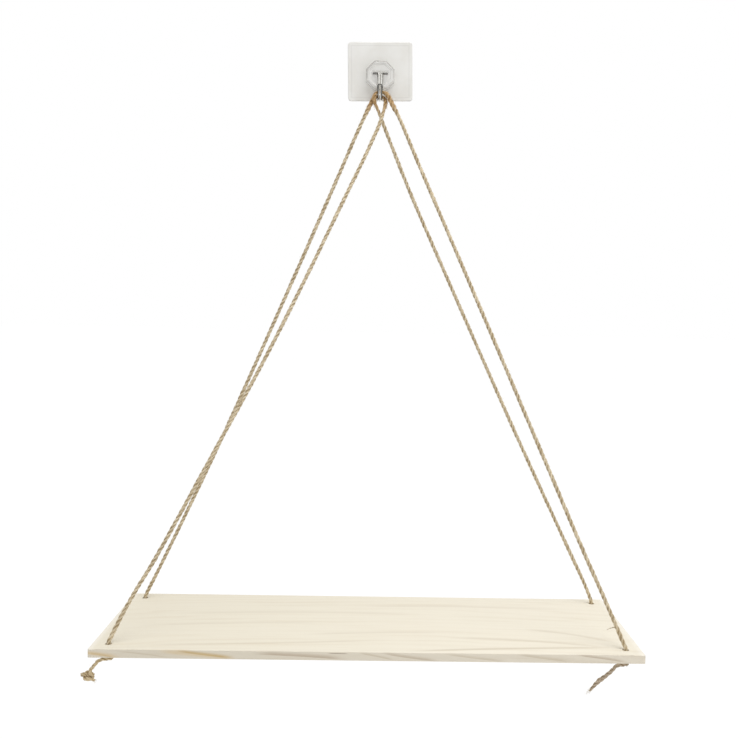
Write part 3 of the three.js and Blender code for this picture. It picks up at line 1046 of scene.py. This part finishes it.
def merged_copy(node, name, finish, edge_round=0.0, lean=0.0):
    """A solid's mesh with its triangles joined up and its edges rounded, turned about the pivot."""
    shape = bmesh.new()
    shape.from_mesh(frame["nodes"][node].data)
    bmesh.ops.remove_doubles(shape, verts=shape.verts, dist=0.01 * MM)
    bmesh.ops.dissolve_limit(shape, angle_limit=math.radians(1), verts=shape.verts, edges=shape.edges)
    bmesh.ops.rotate(shape, verts=shape.verts, cent=pivot, matrix=Matrix.Rotation(-lean, 3, "Y"))
    made = to_object(name, shape, finish)
    made.data.set_sharp_from_angle(angle=math.radians(50))
    if edge_round:
        rounding = adjusted(made.modifiers.new("edge_round", "BEVEL"), width=edge_round, segments=3)
        adjusted(rounding, limit_method="ANGLE", angle_limit=math.radians(25), use_clamp_overlap=True)
    flatten_shading(made)
    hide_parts(node)
    return made


def offsets_from(place, node):
    """How far a place is aside of a solid's middle and above it, and the solid's half size."""
    low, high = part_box(node)
    x, _, z = parts_of(place)
    return x - (low.x + high.x) / 2, z - (low.z + high.z) / 2, (high - low) / 2


def hub_foot_shade(place):
    """Painted shade: a darker line round the hub's eight-sided foot, strongest at its top."""
    aside, above, half = offsets_from(place, "hook_hub")
    far_aside, far_above = abs(aside), abs(above)
    outward = far_aside.larger(far_above).larger((far_aside + far_above) / math.sqrt(2))
    line = eased(outward, half.x - hub_shade_from, half.x - hub_shade_to)
    return line * eased(above, -0.3 * half.z, 0.8 * half.z, 0.35, 1)


def film_outline(place):
    """The film's edge, which shows faintly through the plate."""
    turned_back = {"Vector": place, "Center": pivot, "Angle": plate_lean}
    place = add_node(place.tree, "VectorRotate", turned_back, rotation_type="Y_AXIS")
    aside, above, half = offsets_from(place, "wall_plate")
    past_x = abs(aside) - (half.x - film_inset)
    past_z = abs(above) - (half.z - film_inset)
    return eased(abs(past_x.larger(past_z)), film_edge_width, 0, 0, film_edge_share)


def hub_cover_at(place):
    """How much the hub hides what is behind it: least over the hook's two arms."""
    x, _, z = parts_of(place)
    over_arms = eased(abs(z - pivot.z), 2.6 * MM, 1.2 * MM)
    over_arms = over_arms * eased(abs(x), arm_reach + 1.2 * MM, arm_reach)
    return eased(over_arms, 0, 1, hub_cover, thin_cover)


def clear_finish(name, tint, roughness, cloud_scale, outline=None, cover_at=None):
    """Clear moulded plastic with milky clouds. The cover is the share that hides what is behind."""
    material, tree = new_finish(name)
    place = object_place(tree)
    clouds = noise(place, cloud_scale)
    colour = blended(eased(clouds, 0.3, 0.7, *milky_shares), tint, milky)
    # On the plate this is the film's faint edge; on the hub it is painted shade round its foot.
    if outline:
        colour = blended(outline(place), colour, line_and_shade_grey)
    return filled(
        material,
        Base_Color=colour,
        Roughness=eased(clouds, 0.2, 0.8, roughness, roughness * 1.6),
        Normal=raised(noise(place, grit_scale, 2), grit_height, 0.25),
        Transmission_Weight=clearness,
        IOR=plastic_ior,
        Alpha=cover_at(place) if cover_at else 1.0,
    )


plate_clear = clear_finish("plate_clear", plate_tint, 0.3, 60, film_outline)
hub_clear = clear_finish("hub_clear", hub_tint, 0.12, 90, hub_foot_shade, hub_cover_at)
film_clear = clear_finish("film_clear", film_tint, 0.6, 120)
plate = merged_copy("wall_plate", "clear_wall_plate", plate_clear, plate_edge_round, plate_lean)
hub = merged_copy("hook_hub", "clear_hub", hub_clear, hub_edge_round)
film = merged_copy("adhesive_film", "glue_film", film_clear, lean=plate_lean)
for piece, slot in ((plate, "clear_plastic"), (hub, "clear_plastic"), (film, "film")):
    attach(piece, "wall_hook")
    print(piece.name, len(piece.data.polygons), "faces")

# %% [markdown]
# ## Shelf board
# The board is a thin plank with its edges just broken by sandpaper and a drilled hole near each corner.
# A cube brought to size gets two rounds of bevels, first the upright corners and then the rims. The
# holes are cut with a Boolean modifier, a little narrower than the solid's, so that the ropes fill them
# as in the photograph.

# %% Shelf board
corner_round = 0.9 * MM
rim_round = 0.35 * MM
hole_radius = 2.65 * MM
hole_sides = 36
hole_rim = 0.25 * MM
board_size = board_high - board_low
board_middle = (board_high + board_low) / 2


def hole_cutter():
    """Four upright pins, one for each hole."""
    shape = bmesh.new()
    out_x, out_y = board_size.x / 2 - hole_inset, board_size.y / 2 - hole_inset
    for side in (-1, 1):
        for end in (-1, 1):
            middle = board_middle + Vector((side * out_x, end * out_y, 0))
            add_bar(shape, hole_sides, hole_radius, 3 * board_size.z, middle)
    return shape


def plank(finish):
    shape = bmesh.new()
    bmesh.ops.create_cube(shape, size=1)
    bmesh.ops.scale(shape, verts=shape.verts, vec=board_size)
    bmesh.ops.translate(shape, verts=shape.verts, vec=board_middle)
    corners = [edge for edge in shape.edges if rise(edge) > board_size.z / 2]
    round_off(shape, corners, corner_round, 6)
    rims = [edge for edge in shape.edges if rise(edge) < 0.001 * MM]
    round_off(shape, rims, rim_round, 4)
    made = to_object("wood_board", shape, finish)
    cutter = to_object("hole_cutter", hole_cutter(), finish)
    adjusted(made.modifiers.new("holes", "BOOLEAN"), object=cutter, solver="EXACT")
    shape = with_modifiers(made)
    made.modifiers.clear()
    bpy.data.objects.remove(cutter)
    steep = [edge for edge in shape.edges if edge.calc_face_angle(0) > math.radians(60)]
    hole_rims = [edge for edge in steep if edge.calc_length() < hole_radius / 2]
    round_off(shape, hole_rims, hole_rim, 2)
    shape.to_mesh(made.data)
    shape.free()
    made.data.polygons.foreach_set("use_smooth", [True] * len(made.data.polygons))
    made.data.set_sharp_from_angle(angle=math.radians(50))
    flatten_shading(made)
    return made


# %% [markdown]
# ## Planed wood finish
# A plank is cut out of a trunk, so its pattern is solid: the yearly rings are nested sheets that run
# through it at a slant, long arched lines on top and short slanting streaks on the front edge. The
# finish measures the distance across those sheets, bends it with noise and turns it into rings. On top
# come fine fibres and the lines that this board shows best. Each is a curve through three points, sharp
# on one side and soft on the other: the tables give the points and both widths in millimetres, a colour
# and a strength. The sawn edges are a little darker than the top, partly as sawn wood and partly as
# painted shade.

# %% Planed wood finish
ring_depth_share = 0.72
ring_arch = 0.27
ring_slant, slant_reach = 0.62, 80 * MM
ring_gap = 8 * MM
ring_tones = ((0, 0.3), (0.4, 0.1), (0.86, 1), (1, 0.3))
slow_stretch, slow_bend = (4, 20, 20), 26 * MM
quick_stretch, quick_bend = (14, 110, 110), 1.6 * MM
strength_stretch, strength_offset = (5, 60, 60), (0.3, 0, 0)
strength_range = (0.05, 0.45)
fibre_stretch = (20, 900, 900)
fibre_depth = 0.05 * MM
wood_left = paint(236, 229, 211)
wood_right = paint(242, 235, 218)
wood_line = paint(222, 210, 187)
wood_light = paint(248, 240, 223)
wood_grey = paint(196, 182, 158)
wood_taupe = paint(176, 156, 132)
wood_gold = paint(196, 166, 108)
wood_glow = paint(220, 196, 154)
wood_mark = paint(120, 92, 72)
wood_end = paint(251, 247, 238)
pale_end = 6 * MM
# Partly the sawn surface and partly painted shade, for the front, back and end faces.
sawn_and_shade_tint = paint(242, 240, 239)
sawn_depth = 0.5 * MM
line_fade_share = 0.25
top_lines = (
    ((20, -149.5), (110, -139.5), (214, -134), 2.4, 4.5, wood_grey, 0.5),
    ((60, -115), (140, -121), (206, -136), 2.4, 6, wood_grey, 0.34),
    ((132, -92), (176, -104), (212, -126), 2.4, 6, wood_grey, 0.3),
    ((-196, -141), (-100, -134), (20, -122), 1.8, 4.5, wood_grey, 0.3),
    ((-60, -112), (10, -104), (70, -103), 2, 6, wood_grey, 0.22),
    ((-206, -96), (-120, -84), (-30, -82), 2.4, 7, wood_grey, 0.2),
    ((-190, -62), (-60, -52), (60, -56), 3, 8, wood_grey, 0.18),
    ((-20, -34), (90, -30), (200, -38), 3, 8, wood_grey, 0.18),
    ((5, -151), (110, -146), (222, -143), 3.6, 4.2, wood_light, 0.4),
)
front_lines = (
    ((-172, -497.8), (-140, -500.4), (-104, -503.6), 2.4, 3.6, wood_glow, 0.6),
    ((-158, -497.3), (-135, -500.2), (-106, -503.4), 0.7, 2.8, wood_gold, 0.7),
    ((-205, -498.6), (-180, -500.8), (-158, -503.8), 0.3, 1.6, wood_grey, 0.5),
    ((-96, -499.5), (-60, -500.6), (-14, -503.5), 0.6, 3.6, wood_taupe, 0.6),
    ((-34, -498.2), (-25, -498.2), (-15.5, -498.4), 0.4, 0.4, wood_mark, 0.85),
    ((-10, -497.6), (4, -500), (22, -503.8), 0.4, 2.2, wood_grey, 0.55),
    ((8, -497.4), (28, -500.6), (58, -503.8), 0.4, 3, wood_taupe, 0.5),
    ((58, -497.6), (84, -500.8), (114, -503.8), 0.4, 2.6, wood_grey, 0.5),
    ((118, -497.6), (142, -500.6), (166, -503.6), 0.4, 3, wood_grey, 0.55),
    ((166, -497.4), (188, -499.8), (212, -503.4), 0.5, 2.4, wood_taupe, 0.55),
    ((-238, -499.6), (-220, -501), (-198, -503.8), 1.5, 3.2, wood_glow, 0.75),
    ((-225, -500.6), (-216, -501.6), (-204, -504), 0.5, 2.2, wood_gold, 0.35),
)


def line_share(along, across, face, line):
    """How much a curved grain line covers on a face."""
    start, middle, end, sharp, soft, _, strength = line
    square, slope, level = np.polyfit(*np.transpose([start, middle, end]) * MM, 2)
    off = across - ((along * square + slope) * along + level)
    near = eased(off, -sharp * MM, 0) * eased(off, soft * MM, 0)
    first, last = start[0] * MM, end[0] * MM
    fade = line_fade_share * (last - first)
    shown = eased(along, first, first + fade) * eased(along, last, last - fade)
    return shown * near * face * strength


def wood_finish():
    material, tree = new_finish("planed_wood")
    place = object_place(tree)
    x, y, z = parts_of(place)
    across = y * ring_depth_share + x * x * ring_arch
    across = across + (z - board_high.z) * eased(x, -slant_reach, slant_reach, -ring_slant, ring_slant)
    bent = across + noise(place, slow_stretch) * slow_bend + noise(place, quick_stretch) * quick_bend
    ring_place = (bent / ring_gap).step(operation="FRACT")
    rings = ramp(ring_place, [(at, (tone, tone, tone, 1)) for at, tone in ring_tones])
    strength = noise(place, strength_stretch, offset=strength_offset)
    strength = eased(strength, 0.36, 0.74, *strength_range)
    base = blended(eased(x, -0.9 * board_high.x, 0.9 * board_high.x), wood_left, wood_right)
    fibres = noise(place, fibre_stretch, detail=4, roughness=0.6)
    colour = blended(rings * strength, base, wood_line)
    colour = blended(eased(fibres, 0.5, 0.78, 0, 0.3), colour, wood_line)
    half = board_size / 2
    aside, behind = abs(x - board_middle.x), abs(y - board_middle.y)
    # Painted shade and sawn surface: the end, front and back faces are tinted a little darker.
    sawn_side = eased(aside, half.x - sawn_depth, half.x - sawn_depth / 4)
    sawn_front = eased(behind, half.y - sawn_depth, half.y - sawn_depth / 4)
    colour = tinted(colour, sawn_and_shade_tint, sawn_side.larger(sawn_front))
    on_top = eased(z, board_high.z - 1 * MM, board_high.z - 0.3 * MM)
    near_end = eased(aside, half.x - pale_end, half.x - sawn_depth, 0, 0.5)
    colour = blended(near_end * on_top, colour, wood_end)
    in_front = eased(y, board_low.y + 2 * MM, board_low.y + 0.5 * MM)
    for line in top_lines:
        colour = blended(line_share(x, y, on_top, line), colour, line[5])
    for line in front_lines:
        colour = blended(line_share(x, z, in_front, line), colour, line[5])
    return filled(
        material,
        Base_Color=colour,
        Roughness=eased(fibres, 0.3, 0.7, 0.62, 0.8),
        Specular_IOR_Level=0.3,
        Normal=raised(fibres, fibre_depth, 0.35),
    )


board = plank(wood_finish())
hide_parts("shelf_board")
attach(board, "shelf")
print("board", len(board.data.polygons), "faces")
